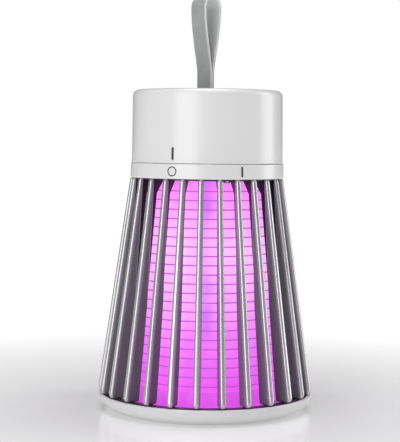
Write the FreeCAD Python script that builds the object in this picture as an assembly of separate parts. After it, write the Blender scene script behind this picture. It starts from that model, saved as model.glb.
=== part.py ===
import FreeCAD, Part
import math
import os

# A rechargeable lantern that kills insects on a lit high-voltage grid.
# Millimetres. +Z is up, the origin is the centre of the base, and the front faces -Y.
# An azimuth is in degrees from the front, growing towards +X. Every piece is made at the front,
# or at the +X side where it is turned or extruded from a radial outline, and then spun into place.

# ---- collecting tray -------------------------------------------------------------------------
TRAY_R = 57.5               # rim radius, the widest part of the object
TRAY_RIM_Z = 9.0
TRAY_FOOT_R = 48.7          # outer radius of the ring that it stands on
TRAY_FOOT_INNER_R = 43.5
TRAY_FLOOR_Z = 2.2
TRAY_WALL = 1.8

# ---- twist lock between tray and guard ----------------------------------------------------------
LOCK_COUNT = 3
LOCK_AZIMUTH = 30.0
LOCK_TURN = 20.0            # the tray turns this far to unlock
LUG_HALF_ANGLE = 4.0
LUG_INNER_R = 53.0
LUG_Z = (6.7, 7.7)
LOCK_GAP = 0.3

# ---- guard --------------------------------------------------------------------------------------
FIN_COUNT = 26
FIN_AZIMUTH = 9.5           # the fin just right of the front
FIN_Z = (9.2, 124.6)
FIN_BOTTOM_R = 57.97
FIN_TOP_R = 41.18
FIN_STEP_Z = 60.0           # below this the fin's inner edge is all grey
FIN_INNER_R = (48.9, 43.5, 39.3)   # inner edge at the bottom, the step and the top
FIN_THICKNESS = (3.1, 2.8)  # at the bottom and the top
FIN_TOE_ROUND = 2.6
FIN_SHOULDER_ROUND = 1.6
FIN_NOSE_ROUND = 1.25
WEB_THICKNESS = 1.4
WEB_NECK = (36.8, 117.0)    # radius and height where the web starts to widen
WEB_TOP_R = 32.0
BOTTOM_RING_R = (51.2, 54.8)
BOTTOM_RING_Z = (5.6, 9.2)

# ---- crown and switch ring -----------------------------------------------------------------------
CROWN_R = 39.25
CROWN_Z = (123.8, 124.6)
HUB_BORE_R = 30.08
HUB_R = 32.2
HUB_TOP_Z = 132.7
RING_R = (41.2, 40.9)       # outside radius at the bottom and the top
RING_Z = (124.6, 132.4)
RING_INNER_R = 39.0
RING_FLANGE_R = 33.0
RING_FLANGE_TOP_Z = 125.6
RING_SCREW_R = 36.0
RING_SCREW_LENGTH = 1.75
RING_SCREW_GAPS = (0, 7, 13, 20)    # which gaps between the fins hold a screw

# ---- switch --------------------------------------------------------------------------------------
SWITCH_TURN = 52.0          # from off to on
MARK_AZIMUTH = 26.0         # the off mark is this far left of the front, the on mark as far right
SWITCH_AZIMUTH = 120.0
SWITCH_R = 35.2
SWITCH_SIZE = (6.0, 4.4, 5.0)
PLUNGER_R = 1.2
PLUNGER_BORE_R = 1.25
PLUNGER_TIP_Z = 126.2
PLUNGER_TRAVEL = 1.2
CAM_GAP = 0.08
CAM_R = (33.4, 37.2)
CAM_OVERRUN = 5.0           # degrees of cam past each end of the plunger's path
STOP_AZIMUTH = 240.0
STOP_HALF_ANGLE = 4.0
STOP_GAP_ANGLE = 0.5
STOP_TOP_Z = 130.5
STOP_LUG_Z = 127.0

# ---- head ----------------------------------------------------------------------------------------
CAP_Z = (132.6, 171.2)
CAP_R = (40.45, 40.1)
CAP_LIP_R = 40.75
CAP_LIP_H = 1.1
CAP_WALL = 2.2
CAP_ROUND = 3.2
CAP_BOSS_R = 3.9
CAP_BOSS_PLACE_R = 34.6
CAP_BOSS_AZIMUTHS = (0.0, 110.0, 250.0)
CHASSIS_Z = (133.0, 135.0)
CHASSIS_R = 38.0
NECK_R = (27.6, 30.0)
NECK_BOTTOM_Z = 123.5
CORE_SCREW_R = 23.5
CORE_SCREW_AZIMUTHS = (60.0, 180.0, 300.0)
WIRE_HOLE_R = 7.0

# ---- strap ---------------------------------------------------------------------------------------
STRAP_WIDTH = 10.0
STRAP_THICKNESS = 1.44
STRAP_TURN = -42.0          # the strap's width direction, from +X
STRAP_X = -1.3              # the strap stands this far off the middle
STRAP_PIVOT_Z = 173.4
STRAP_MERGE_Z = 180.0       # the two legs lie together below this
STRAP_LOOP_R = 6.0          # centreline radius of the rounded top
STRAP_LOOP_Z = 215.0
STRAP_SWELL = (5.0, 13.0)     # how far the curve of a leg runs straight at its foot and its top
STRAP_STUB_TOP_Z = 171.6
STRAP_FOOT_Z = (162.8, 165.2)
STRAP_FOOT_SIZE = (14.0, 6.0)
CLAMP_SIZE = (24.0, 9.0, 2.0)
CLAMP_TOP_Z = CAP_Z[1] - CAP_WALL - 1.8
CLAMP_SCREW_X = 9.0

# ---- battery and board ---------------------------------------------------------------------------
CELL_R = 9.2
CELL_LENGTH = 65.0
CELL_PLACE = (-9.0, 145.6)  # y and z of its axis, which runs along X
SADDLE_X = 20.0
SADDLE_SIZE = (5.0, 20.0, 6.0)
BOARD_Z = (138.0, 139.6)
BOARD_R = 30.2
BOARD_FRONT_Y = 3.0
BOARD_TONGUE = (16.0, 33.0)  # half width, and how far back it reaches
CHIPS = ((5.0, 4.0, 1.5, 0.0, 7.0), (4.0, 4.0, 1.2, -8.0, 6.0), (3.0, 2.5, 1.0, 12.0, 28.5))
TRANSFORMER_SIZE = (16.0, 13.0, 13.0)
TRANSFORMER_PLACE = (-11.0, 16.0)
CAPACITOR_R = 3.9
CAPACITORS = ((8.0, 12.0, 12.0), (16.0, 13.5, 12.0), (9.5, 22.5, 9.0))    # x, y and height
BOARD_SCREWS = ((-22.0, 7.0), (22.0, 7.0), (0.0, 24.0))
PORT_Z = 141.2
PORT_SIZE = (8.94, 3.2, 7.3)
PORT_MOUTH_Y = 38.8
PORT_HOLE = (10.0, 4.4)
PIPE_X = 13.0
PIPE_R = 1.5

# ---- grid core -----------------------------------------------------------------------------------
CORE_R = (41.0, 31.5)       # radius of the grid wires at the two heights below
CORE_REF_Z = (9.5, 118.0)
WIRE_R = 0.35
WIRE_ROWS = 22
WIRE_Z = (17.9, 118.2)
CORE_BOTTOM_Z = 7.0
BASE_SCREW_SEAT_Z = CORE_BOTTOM_Z + 1.3
CORE_FLOOR_Z = 10.3
CORE_SKIRT_TOP_Z = 15.4
COLLAR_Z = (119.6, 123.5)
COLLAR_R = 31.3
COLLAR_BORE_R = 18.0
COLLAR_SPIGOT_Z = 116.4
COLLAR_WEB_Z = 117.9        # underside of the collar's web, which the screws bear on
RIB_COUNT = 6
RIB_AZIMUTH = -66.0
RIB_THICKNESS = 1.6
RIB_PROUD = 0.5
NOTCH_HALF = 0.95
NOTCH_DEPTH = 0.9
DIFFUSER_BEHIND = 2.4       # the light shade lies this far behind the wires
DIFFUSER_WALL = 1.4
BUS_AZIMUTHS = (168.0, 192.0)
BUS_WIDTH = 2.4
BUS_BEHIND = (1.9, 1.4)
TERMINAL_R = 25.2
POST_R = 7.5
LED_BOARD_SIZE = (11.0, 1.2, 94.0)
LED_BOARD_Z = 17.0
LED_ROWS = 6
LED_SIZE = (3.5, 1.9, 3.5)

Z_AXIS = FreeCAD.Vector(0, 0, 1)
ORIGIN = FreeCAD.Vector(0, 0, 0)
BIG = 200.0                 # longer than anything that a cutting tool has to pass


def vec(x, y, z):
    """A vector."""
    return FreeCAD.Vector(x, y, z)


# ---- helpers -------------------------------------------------------------------------------------
def spin(shape, azimuth):
    """A copy turned about the upright axis."""
    turned_copy = shape.copy()
    turned_copy.rotate(ORIGIN, Z_AXIS, azimuth)
    return turned_copy


def side_to(shape, azimuth):
    """A copy of something made on the +X side, moved to an azimuth."""
    return spin(shape, azimuth - 90.0)


def rounded_edges(points, radii, closed):
    """Straight runs through points, with a tangent arc of the given radius at each corner."""
    count = len(points)
    ends = []
    for i, (point, radius) in enumerate(zip(points, radii)):
        at_end = not closed and i in (0, count - 1)
        if radius == 0 or at_end:
            ends.append((point, None, point))
            continue
        back = (points[i - 1] - point).normalize()
        ahead = (points[(i + 1) % count] - point).normalize()
        half = back.getAngle(ahead) / 2
        inward = (back + ahead).normalize()
        middle = point + inward * (radius / math.sin(half) - radius)
        reach = radius / math.tan(half)
        ends.append((point + back * reach, middle, point + ahead * reach))
    edges = []
    for i, (start, middle, end) in enumerate(ends):
        if middle is not None:
            edges.append(Part.Arc(start, middle, end).toShape())
        if closed or i < count - 1:
            following = ends[(i + 1) % count][0]
            if (following - end).Length > 1e-6:
                edges.append(Part.LineSegment(end, following).toShape())
    return edges


def outline(corners):
    """A face in the XZ plane. A corner is (x, z) or (x, z, radius)."""
    points = [vec(c[0], 0, c[1]) for c in corners]
    radii = [c[2] if len(c) == 3 else 0 for c in corners]
    return Part.Face(Part.Wire(rounded_edges(points, radii, True)))


def turned(corners):
    """A solid of revolution about the upright axis. The corners are (radius, z) or (radius, z, round)."""
    return outline(corners).revolve(ORIGIN, Z_AXIS, 360)


def tube(inner_r, outer_r, low, high):
    """A plain ring."""
    return turned([(inner_r, low), (outer_r, low), (outer_r, high), (inner_r, high)])


def sector(inner_r, outer_r, low, high, start, end):
    """A piece of a ring between two azimuths."""
    face = outline([(inner_r, low), (outer_r, low), (outer_r, high), (inner_r, high)])
    return side_to(face.revolve(ORIGIN, Z_AXIS, end - start), start)


def blade(corners, thickness):
    """A radial plate on the +X side. The corners are (radius, z) or (radius, z, round)."""
    plate = outline(corners).extrude(vec(0, thickness, 0))
    plate.translate(vec(0, -thickness / 2, 0))
    return plate


def rod(radius, low, high, x=0.0, y=0.0):
    """An upright cylinder."""
    return Part.makeCylinder(radius, high - low, vec(x, y, low))


def block(size_x, size_y, low, high, x=0.0, y=0.0):
    """An upright box centred on x and y."""
    return Part.makeBox(size_x, size_y, high - low, vec(x - size_x / 2, y - size_y / 2, low))


def at_polar(radius, azimuth):
    """The x and y of a place."""
    angle = math.radians(azimuth)
    return radius * math.sin(angle), -radius * math.cos(angle)


def pan_screw(x, y, seat, head_r, head_h, shank_r, shank_h, up=True):
    """A cross-head screw with a domed head under its seat, or over it if up is False."""
    dome = head_h * 0.45
    profile = [(0, -head_h), (head_r * 0.75, -head_h, dome), (head_r, -head_h * 0.35, dome / 2),
               (head_r, 0), (shank_r, 0), (shank_r, shank_h - shank_r * 0.5), (shank_r * 0.5, shank_h),
               (0, shank_h)]
    screw = turned(profile)
    for turn in (0, 90):
        slot = block(head_r * 0.9, head_r * 0.22, -head_h - 1, -head_h * 0.45)
        screw = screw.cut(spin(slot, turn))
    if not up:
        screw.rotate(ORIGIN, vec(1, 0, 0), 180)
    screw.translate(vec(x, y, seat))
    return screw


def lead(points, radius, bends):
    """A round wire along straight runs joined by tangent arcs."""
    path = Part.Wire(rounded_edges(points, bends, False))
    along = points[1] - points[0]
    section = Part.Wire([Part.makeCircle(radius, points[0], along)])
    return path.makePipeShell([section], True, True)


def core_r(z):
    """The grid's radius at a height."""
    share = (z - CORE_REF_Z[0]) / (CORE_REF_Z[1] - CORE_REF_Z[0])
    return CORE_R[0] + (CORE_R[1] - CORE_R[0]) * share


def wire_heights():
    """The height of every grid wire, from the bottom."""
    pitch = (WIRE_Z[1] - WIRE_Z[0]) / (WIRE_ROWS - 1)
    return [WIRE_Z[0] + pitch * row for row in range(WIRE_ROWS)]


# ---- tray ----------------------------------------------------------------------------------------
def make_tray():
    """A shallow round dish with three lugs inside its rim."""
    inside = TRAY_R - TRAY_WALL
    dish = turned([(0, 0.6), (TRAY_FOOT_INNER_R - 0.6, 0.6), (TRAY_FOOT_INNER_R, 0), (TRAY_FOOT_R, 0, 2.0),
                   (TRAY_R - 3.0, 2.6, 5.0), (TRAY_R - 0.4, 6.2, 6.0), (TRAY_R, TRAY_RIM_Z, 0.6),
                   (inside, TRAY_RIM_Z, 0.5), (inside - 0.4, 6.4, 5.0), (TRAY_R - 4.4, 3.6, 4.0),
                   (TRAY_FOOT_R - 1.0, TRAY_FLOOR_Z, 3.0), (0, TRAY_FLOOR_Z)])
    for i in range(LOCK_COUNT):
        middle = LOCK_AZIMUTH + i * 360.0 / LOCK_COUNT
        lug = sector(LUG_INNER_R, inside + 0.3, LUG_Z[0], LUG_Z[1],
                     middle - LUG_HALF_ANGLE, middle + LUG_HALF_ANGLE)
        dish = dish.fuse(lug)
    return dish.removeSplitter()


# ---- guard ---------------------------------------------------------------------------------------
def make_bottom_ring():
    """The ring under the fins, with a stepped slot for each lug of the tray."""
    inner, outer = BOTTOM_RING_R
    low, high = BOTTOM_RING_Z
    ring = turned([(inner, low, 0.5), (outer, low, 1.2), (outer, high), (inner, high)])
    slack = math.degrees(LOCK_GAP / outer)
    groove_r = LUG_INNER_R - LOCK_GAP
    for i in range(LOCK_COUNT):
        locked = LOCK_AZIMUTH + i * 360.0 / LOCK_COUNT
        start = locked - LOCK_TURN - LUG_HALF_ANGLE - slack
        entry_end = locked - LOCK_TURN + LUG_HALF_ANGLE + slack
        end = locked + LUG_HALF_ANGLE + slack
        groove = sector(groove_r, outer + 1, LUG_Z[0] - LOCK_GAP, LUG_Z[1] + LOCK_GAP, start, end)
        entry = sector(groove_r, outer + 1, low - 1, LUG_Z[0], start, entry_end)
        ring = ring.cut(groove).cut(entry)
    return ring


def make_fin():
    """One fin: a leaning plate with a rounded nose, thinner at the top."""
    low, high = FIN_Z
    plate = blade([(FIN_INNER_R[0], low), (FIN_BOTTOM_R, low, FIN_TOE_ROUND),
                   (FIN_TOP_R, high, FIN_SHOULDER_ROUND), (FIN_INNER_R[2], high),
                   (FIN_INNER_R[1], FIN_STEP_Z)], FIN_THICKNESS[0] + 1)
    half_low, half_high = FIN_THICKNESS[0] / 2, FIN_THICKNESS[1] / 2
    corners = [vec(0, -half_low, low), vec(0, half_low, low), vec(0, half_high, high),
               vec(0, -half_high, high)]
    wedge = Part.Face(Part.makePolygon(corners + corners[:1])).extrude(vec(BIG, 0, 0))
    fin = plate.common(wedge)
    nose = []
    for edge in fin.Edges:
        first, last = edge.Vertexes[0].Point, edge.Vertexes[-1].Point
        along_nose = first.y * last.y > 0
        lean = (edge.CenterOfMass.z - low) / (high - low)
        outer_r = FIN_BOTTOM_R + (FIN_TOP_R - FIN_BOTTOM_R) * lean
        if along_nose and outer_r - edge.CenterOfMass.x < 1.6 and edge.CenterOfMass.x > FIN_TOP_R / 2:
            nose.append(edge)
    return fin.makeFillet(FIN_NOSE_ROUND, nose).Solids[0]


def make_web():
    """The thin web behind a fin, which widens into a gusset under the crown."""
    top = CROWN_Z[0]
    return blade([(FIN_INNER_R[1], FIN_STEP_Z), (FIN_INNER_R[2], top), (WEB_TOP_R, top), WEB_NECK],
                 WEB_THICKNESS)


def around_guard(shape):
    """A copy of a piece at every fin."""
    step = 360.0 / FIN_COUNT
    return Part.makeCompound([side_to(shape, FIN_AZIMUTH + i * step) for i in range(FIN_COUNT)])


def ring_screw_places():
    """Where the screws through crown and ring stand, midway between two fins."""
    step = 360.0 / FIN_COUNT
    return [at_polar(RING_SCREW_R, FIN_AZIMUTH + (gap + 0.5) * step) for gap in RING_SCREW_GAPS]


def make_crown():
    """The plate over the fins, with the hub that the head turns in."""
    low, high = CROWN_Z
    crown = turned([(HUB_BORE_R, low, 0.3), (CROWN_R, low, 0.3), (CROWN_R, high), (HUB_R, high),
                    (HUB_R, HUB_TOP_Z), (HUB_BORE_R, HUB_TOP_Z, 0.3)])
    for x, y in ring_screw_places():
        crown = crown.cut(rod(1.15, low - 1, high + 1, x, y))
    return crown


def make_ring_body():
    """The switch ring with its inner flange and the two end stops."""
    low, high = RING_Z
    body = turned([(RING_FLANGE_R, low), (RING_R[0], low, 0.4), (RING_R[1], high, 0.35),
                   (RING_INNER_R, high), (RING_INNER_R, RING_FLANGE_TOP_Z),
                   (RING_FLANGE_R, RING_FLANGE_TOP_Z)])
    reach = STOP_HALF_ANGLE + STOP_GAP_ANGLE
    for start in (STOP_AZIMUTH - reach - 2 * STOP_HALF_ANGLE, STOP_AZIMUTH + SWITCH_TURN + reach):
        stop = sector(RING_FLANGE_R + 0.4, RING_INNER_R + 0.5, RING_FLANGE_TOP_Z - 0.2, STOP_TOP_Z,
                      start, start + 2 * STOP_HALF_ANGLE)
        body = body.fuse(stop)
    for x, y in ring_screw_places():
        body = body.cut(rod(0.95, low - 1, RING_FLANGE_TOP_Z + 1, x, y))
    return body.removeSplitter()


def make_cam():
    """The sloping track that lifts the switch's plunger evenly as the head turns."""
    middle = SWITCH_AZIMUTH + SWITCH_TURN / 2
    reach = SWITCH_TURN / 2 + CAM_OVERRUN
    track = sector(CAM_R[0], CAM_R[1], RING_FLANGE_TOP_Z, PLUNGER_TIP_Z + 3, middle - reach, middle + reach)
    half_run = SWITCH_R * math.sin(math.radians(SWITCH_TURN / 2))
    rise = PLUNGER_TRAVEL / (2 * half_run)
    mid_z = PLUNGER_TIP_Z - CAM_GAP + PLUNGER_TRAVEL / 2
    span = 40.0
    corners = [vec(-span, 0, mid_z - rise * span), vec(span, 0, mid_z + rise * span),
               vec(span, 0, mid_z + span), vec(-span, 0, mid_z + span)]
    above = Part.Face(Part.makePolygon(corners + corners[:1])).extrude(vec(0, -BIG, 0))
    return track.cut(spin(above, middle))


# ---- marks ---------------------------------------------------------------------------------------
def printed(flat_face, low_r, high_r, low, high):
    """A thin print on a nearly upright round wall: the part of a radial prism in a thin shell."""
    prism = flat_face.extrude(vec(0, -BIG, 0))
    shell = turned([(low_r - 0.15, low), (low_r + 0.06, low), (high_r + 0.06, high), (high_r - 0.15, high)])
    return prism.common(shell)


def bar_face(width, height, z):
    """An upright bar with round ends, centred on the front."""
    half = width / 2
    return outline([(-half, z - height / 2, half * 0.98), (half, z - height / 2, half * 0.98),
                    (half, z + height / 2, half * 0.98), (-half, z + height / 2, half * 0.98)])


def circle_line_face(radius, line, z):
    """The line of a circle, centred on the front."""
    outer = Part.Wire([Part.makeCircle(radius, vec(0, 0, z), vec(0, 1, 0))])
    inner = Part.Wire([Part.makeCircle(radius - line, vec(0, 0, z), vec(0, 1, 0))])
    return Part.Face(outer).cut(Part.Face(inner))


def make_ring_marks():
    """The off circle and the on bar of the switch."""
    middle = (RING_Z[0] + RING_Z[1]) / 2
    low, high = RING_Z
    circle = printed(circle_line_face(2.55, 0.55, middle), RING_R[0], RING_R[1], low, high)
    bar = printed(bar_face(1.1, 5.4, middle), RING_R[0], RING_R[1], low, high)
    return Part.makeCompound([spin(circle, -MARK_AZIMUTH).Solids[0], spin(bar, MARK_AZIMUTH).Solids[0]])


def make_cap_mark():
    """The pointer bar on the cap."""
    low, high = CAP_Z
    bar = printed(bar_face(1.3, 6.6, low + 5.0), CAP_R[0], CAP_R[1], low, high)
    return spin(bar, -MARK_AZIMUTH).Solids[0]


# ---- head ----------------------------------------------------------------------------------------
def strap_frame(shape):
    """Something made about the Z axis with the strap's width along X, set at the strap's real place."""
    placed = shape.copy()
    placed.rotate(ORIGIN, Z_AXIS, STRAP_TURN)
    placed.translate(vec(STRAP_X, 0, 0))
    return placed


def boss_places():
    """Where the screws between chassis and cap stand."""
    return [at_polar(CAP_BOSS_PLACE_R, azimuth) for azimuth in CAP_BOSS_AZIMUTHS]


def port_prism(width, height, front, back, z):
    """A rounded slot shape, as of the charging port, that runs along Y."""
    half, tall = width / 2, height / 2
    face = outline([(-half, z - tall, tall * 0.98), (half, z - tall, tall * 0.98),
                    (half, z + tall, tall * 0.98), (-half, z + tall, tall * 0.98)])
    prism = face.extrude(vec(0, back - front, 0))
    prism.translate(vec(0, front, 0))
    return prism


def make_cap():
    """The round cover over battery and board, with a slot for the strap and a port at the back."""
    low, high = CAP_Z
    roof = high - CAP_WALL
    shell = turned([(0, high), (CAP_R[1], high, CAP_ROUND), (CAP_R[0], low + CAP_LIP_H),
                    (CAP_LIP_R, low + CAP_LIP_H, 0.12), (CAP_LIP_R, low, 0.35), (CAP_R[0] - CAP_WALL, low),
                    (CAP_R[1] - CAP_WALL, roof, 1.6), (0, roof)])
    for x, y in boss_places():
        boss = rod(CAP_BOSS_R, CHASSIS_Z[1], roof + 0.5, x, y)
        shell = shell.fuse(boss).cut(rod(1.1, CHASSIS_Z[1] - 1, CHASSIS_Z[1] + 9, x, y))
    for x in (-CLAMP_SCREW_X, CLAMP_SCREW_X):
        boss = rod(2.2, roof - 1.8, roof + 0.5, x, 0).cut(rod(0.8, roof - 2.2, roof + 0.8, x, 0))
        shell = shell.fuse(strap_frame(boss))
    slot = block(STRAP_WIDTH + 0.8, 2 * STRAP_THICKNESS + 0.6, roof - 1, high + 1)
    shell = shell.cut(strap_frame(slot))
    shell = shell.cut(port_prism(PORT_HOLE[0], PORT_HOLE[1], 34, 44, PORT_Z))
    pipe_hole = Part.makeCylinder(PIPE_R + 0.05, 10, vec(PIPE_X, 34, PORT_Z), vec(0, 1, 0))
    return shell.cut(pipe_hole)


def make_chassis():
    """The plate that closes the cap, with the neck that turns in the crown and the stop lug."""
    low, high = CHASSIS_Z
    plate = turned([(WIRE_HOLE_R, low), (NECK_R[0], low), (NECK_R[0], NECK_BOTTOM_Z),
                    (NECK_R[1], NECK_BOTTOM_Z), (NECK_R[1], low), (CHASSIS_R, low, 0.4),
                    (CHASSIS_R, high, 0.4), (WIRE_HOLE_R, high)])
    lug = sector(RING_FLANGE_R + 0.6, RING_INNER_R - 1.0, STOP_LUG_Z, low + 0.3,
                 STOP_AZIMUTH - STOP_HALF_ANGLE, STOP_AZIMUTH + STOP_HALF_ANGLE)
    plate = plate.fuse(lug)
    for azimuth in CORE_SCREW_AZIMUTHS:
        x, y = at_polar(CORE_SCREW_R, azimuth)
        column = rod(2.8, NECK_BOTTOM_Z, low + 0.3, x, y)
        plate = plate.fuse(column).cut(rod(1.1, NECK_BOTTOM_Z - 1, NECK_BOTTOM_Z + 8, x, y))
    for x, y in BOARD_SCREWS:
        post = rod(2.4, high - 0.3, BOARD_Z[0], x, y)
        plate = plate.fuse(post).cut(rod(0.9, low - 1, BOARD_Z[0] + 1, x, y))
    for x, y in boss_places():
        plate = plate.cut(rod(1.35, low - 1, high + 1, x, y))
    return plate.removeSplitter()


def make_strap_loop():
    """The free loop of the silicone strap: two legs that part into a rounded loop."""
    t = STRAP_THICKNESS
    inner_r, outer_r = STRAP_LOOP_R - t / 2, STRAP_LOOP_R + t / 2
    loop_z, merge_z, pivot_z = STRAP_LOOP_Z, STRAP_MERGE_Z, STRAP_PIVOT_Z
    swell = (merge_z + STRAP_SWELL[0], loop_z - STRAP_SWELL[1])

    def leg(side, start_y, end_y, start_z):
        """The curved part of one face of a leg."""
        curve = Part.BezierCurve()
        curve.setPoles([vec(0, side * start_y, start_z), vec(0, side * start_y, swell[0]),
                        vec(0, side * end_y, swell[1]), vec(0, side * end_y, loop_z)])
        return curve.toShape()

    def over(r):
        """The half circle over the top of one face."""
        return Part.Arc(vec(0, r, loop_z), vec(0, 0, loop_z + r), vec(0, -r, loop_z)).toShape()

    outer = [Part.LineSegment(vec(0, t, pivot_z), vec(0, t, merge_z)).toShape(),
             leg(1, t, outer_r, merge_z),
             over(outer_r),
             leg(-1, t, outer_r, merge_z),
             Part.LineSegment(vec(0, -t, merge_z), vec(0, -t, pivot_z)).toShape(),
             Part.Arc(vec(0, -t, pivot_z), vec(0, 0, pivot_z - t), vec(0, t, pivot_z)).toShape()]
    inner = [leg(1, 0, inner_r, merge_z + 1.0),
             over(inner_r),
             leg(-1, 0, inner_r, merge_z + 1.0)]
    body = Part.Face(Part.Wire(Part.__sortEdges__(outer))).extrude(vec(STRAP_WIDTH, 0, 0))
    hole = Part.Face(Part.Wire(Part.__sortEdges__(inner))).extrude(vec(STRAP_WIDTH, 0, 0))
    loop = body.cut(hole)
    loop.translate(vec(-STRAP_WIDTH / 2, 0, 0))
    return strap_frame(loop)


def make_strap_root():
    """The end of the strap in the cap's slot, with the wide foot that holds it."""
    stem = block(STRAP_WIDTH, 2 * STRAP_THICKNESS, STRAP_FOOT_Z[0], STRAP_STUB_TOP_Z)
    foot = block(STRAP_FOOT_SIZE[0], STRAP_FOOT_SIZE[1], STRAP_FOOT_Z[0], STRAP_FOOT_Z[1])
    return strap_frame(stem.fuse(foot).removeSplitter())


def make_strap_clamp():
    """The plate under the cap's roof that the strap's foot bears on."""
    top = CLAMP_TOP_Z
    plate = block(CLAMP_SIZE[0], CLAMP_SIZE[1], top - CLAMP_SIZE[2], top)
    plate = plate.cut(block(STRAP_WIDTH + 0.4, 2 * STRAP_THICKNESS + 0.4, top - 4, top + 1))
    for x in (-CLAMP_SCREW_X, CLAMP_SCREW_X):
        plate = plate.cut(rod(1.0, top - 4, top + 1, x, 0))
    return strap_frame(plate)


def make_clamp_screws():
    """The two small screws of the strap clamp."""
    seat = CLAMP_TOP_Z - CLAMP_SIZE[2]
    screws = [pan_screw(x, 0, seat, 1.7, 1.1, 0.75, 3.4) for x in (-CLAMP_SCREW_X, CLAMP_SCREW_X)]
    return Part.makeCompound([strap_frame(screw) for screw in screws])


def make_chassis_screws():
    """The screws that hold the chassis in the cap."""
    return Part.makeCompound([pan_screw(x, y, CHASSIS_Z[0], 2.0, 1.3, 1.05, 9.0) for x, y in boss_places()])


# ---- power ---------------------------------------------------------------------------------------
def make_cell():
    """The round lithium cell, with its raised positive end."""
    y, z = CELL_PLACE
    half = CELL_LENGTH / 2
    cell = turned([(0, -half), (CELL_R, -half, 0.8), (CELL_R, half - 1.0, 0.8), (3.2, half - 1.0),
                   (3.2, half, 0.3), (0, half)])
    cell.rotate(ORIGIN, vec(0, 1, 0), 90)
    cell.translate(vec(0, y, z))
    return cell


def make_saddles():
    """The two saddles that carry the cell."""
    y, z = CELL_PLACE
    lying = Part.makeCylinder(CELL_R + 0.05, BIG, vec(-BIG / 2, y, z), vec(1, 0, 0))
    saddles = [block(SADDLE_SIZE[0], SADDLE_SIZE[1], CHASSIS_Z[1], CHASSIS_Z[1] + SADDLE_SIZE[2], x, y)
               for x in (-SADDLE_X, SADDLE_X)]
    return Part.makeCompound([saddle.cut(lying) for saddle in saddles])


def make_cell_tabs():
    """The welded nickel tab at each end of the cell."""
    y, z = CELL_PLACE
    half = CELL_LENGTH / 2
    return Part.makeCompound([Part.makeBox(0.3, 5.0, 12.0, vec(half, y - 2.5, z - 3)),
                              Part.makeBox(0.3, 5.0, 12.0, vec(-half - 0.3, y - 2.5, z - 3))])


def make_cell_leads():
    """The two insulated leads from the cell's tabs to the board."""
    y, z = CELL_PLACE
    half = CELL_LENGTH / 2
    leads = []
    for side in (-1, 1):
        x = half + 1.0
        points = [vec(side * x, y, z + 5), vec(side * x, y + 7, z + 7), vec(side * (x - 7), y + 14, z + 5),
                  vec(side * (x - 12), y + 24, z + 1), vec(side * (x - 12), y + 24, BOARD_Z[1])]
        leads.append(lead(points, 0.65, (0, 5.0, 5.0, 3.0, 0)))
    return Part.makeCompound(leads)


def make_board():
    """The circuit board: a half disc with a tongue back to the charging port."""
    low, high = BOARD_Z
    behind = Part.makeBox(BIG, BIG, BIG, vec(-BIG / 2, BOARD_FRONT_Y, 100))
    half_disc = rod(BOARD_R, low, high).common(behind)
    width, back = BOARD_TONGUE
    tongue = Part.makeBox(2 * width, back - 20, high - low, vec(-width, 20, low))
    board = half_disc.fuse(tongue).removeSplitter()
    for x, y in BOARD_SCREWS:
        board = board.cut(rod(1.1, low - 1, high + 1, x, y))
    return board


def make_board_screws():
    """The screws of the circuit board."""
    return Part.makeCompound([pan_screw(x, y, BOARD_Z[1], 1.9, 1.2, 0.85, 4.5, up=False)
                              for x, y in BOARD_SCREWS])


def make_transformer():
    """The small step-up transformer: core, bobbin flanges and winding."""
    low = BOARD_Z[1]
    x, y = TRANSFORMER_PLACE
    wide, deep, tall = TRANSFORMER_SIZE
    flange = 2.0
    under, over = low + flange, low + tall - flange
    base = block(wide, deep, low, under, x, y)
    lid = block(wide, deep, over, low + tall, x, y)
    winding = rod(5.2, under, over, x, y)
    legs = [block(2.6, 9.0, under, over, x + dx, y) for dx in (-6.7, 6.7)]
    return base.multiFuse([lid, winding] + legs).removeSplitter()


def make_capacitors():
    """The three round capacitors of the voltage multiplier."""
    r = CAPACITOR_R
    cans = []
    for x, y, tall in CAPACITORS:
        can = turned([(0, 0), (r, 0, 0.5), (r, tall, 0.6), (0, tall)])
        can.translate(vec(x, y, BOARD_Z[1]))
        cans.append(can)
    return Part.makeCompound(cans)


def make_chips():
    """The charging and boost chips on the board."""
    top = BOARD_Z[1]
    return Part.makeCompound([block(wide, deep, top, top + tall, x, y) for wide, deep, tall, x, y in CHIPS])


def make_port():
    """The charging socket: a rounded steel mouth with a tongue inside."""
    back = PORT_MOUTH_Y
    front = back - PORT_SIZE[2]
    shell = port_prism(PORT_SIZE[0], PORT_SIZE[1], front, back, PORT_Z)
    shell = shell.cut(port_prism(PORT_SIZE[0] - 0.7, PORT_SIZE[1] - 0.7, front + 1.2, back + 1, PORT_Z))
    tongue = Part.makeBox(6.6, 5.2, 0.7, vec(-3.3, front + 1.0, PORT_Z - 0.35))
    return shell.fuse(tongue).removeSplitter()


def make_light_pipe():
    """The clear peg that shows the charging light beside the port."""
    outer_r = CAP_R[0] - 0.35
    back = math.sqrt(outer_r ** 2 - PIPE_X ** 2)
    return Part.makeCylinder(PIPE_R, back - 31.0, vec(PIPE_X, 31.0, PORT_Z), vec(0, 1, 0))


# ---- power switch --------------------------------------------------------------------------------
def make_switch_body():
    """The snap switch under the chassis, bored for its plunger."""
    wide, deep, tall = SWITCH_SIZE
    top = CHASSIS_Z[0]
    body = block(wide, deep, top - tall, top, 0, -SWITCH_R)
    bore = rod(PLUNGER_BORE_R, top - tall - 1, top - 0.8, 0, -SWITCH_R)
    return spin(body.cut(bore), SWITCH_AZIMUTH)


def make_plunger():
    """The round-ended plunger that the cam lifts."""
    top = CHASSIS_Z[0] - 0.8 - PLUNGER_TRAVEL - 0.6
    low, r = PLUNGER_TIP_Z, PLUNGER_R
    peg = turned([(0, low), (r, low, r * 0.95), (r, top), (0, top)])
    peg.translate(vec(0, -SWITCH_R, 0))
    return spin(peg, SWITCH_AZIMUTH)


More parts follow.
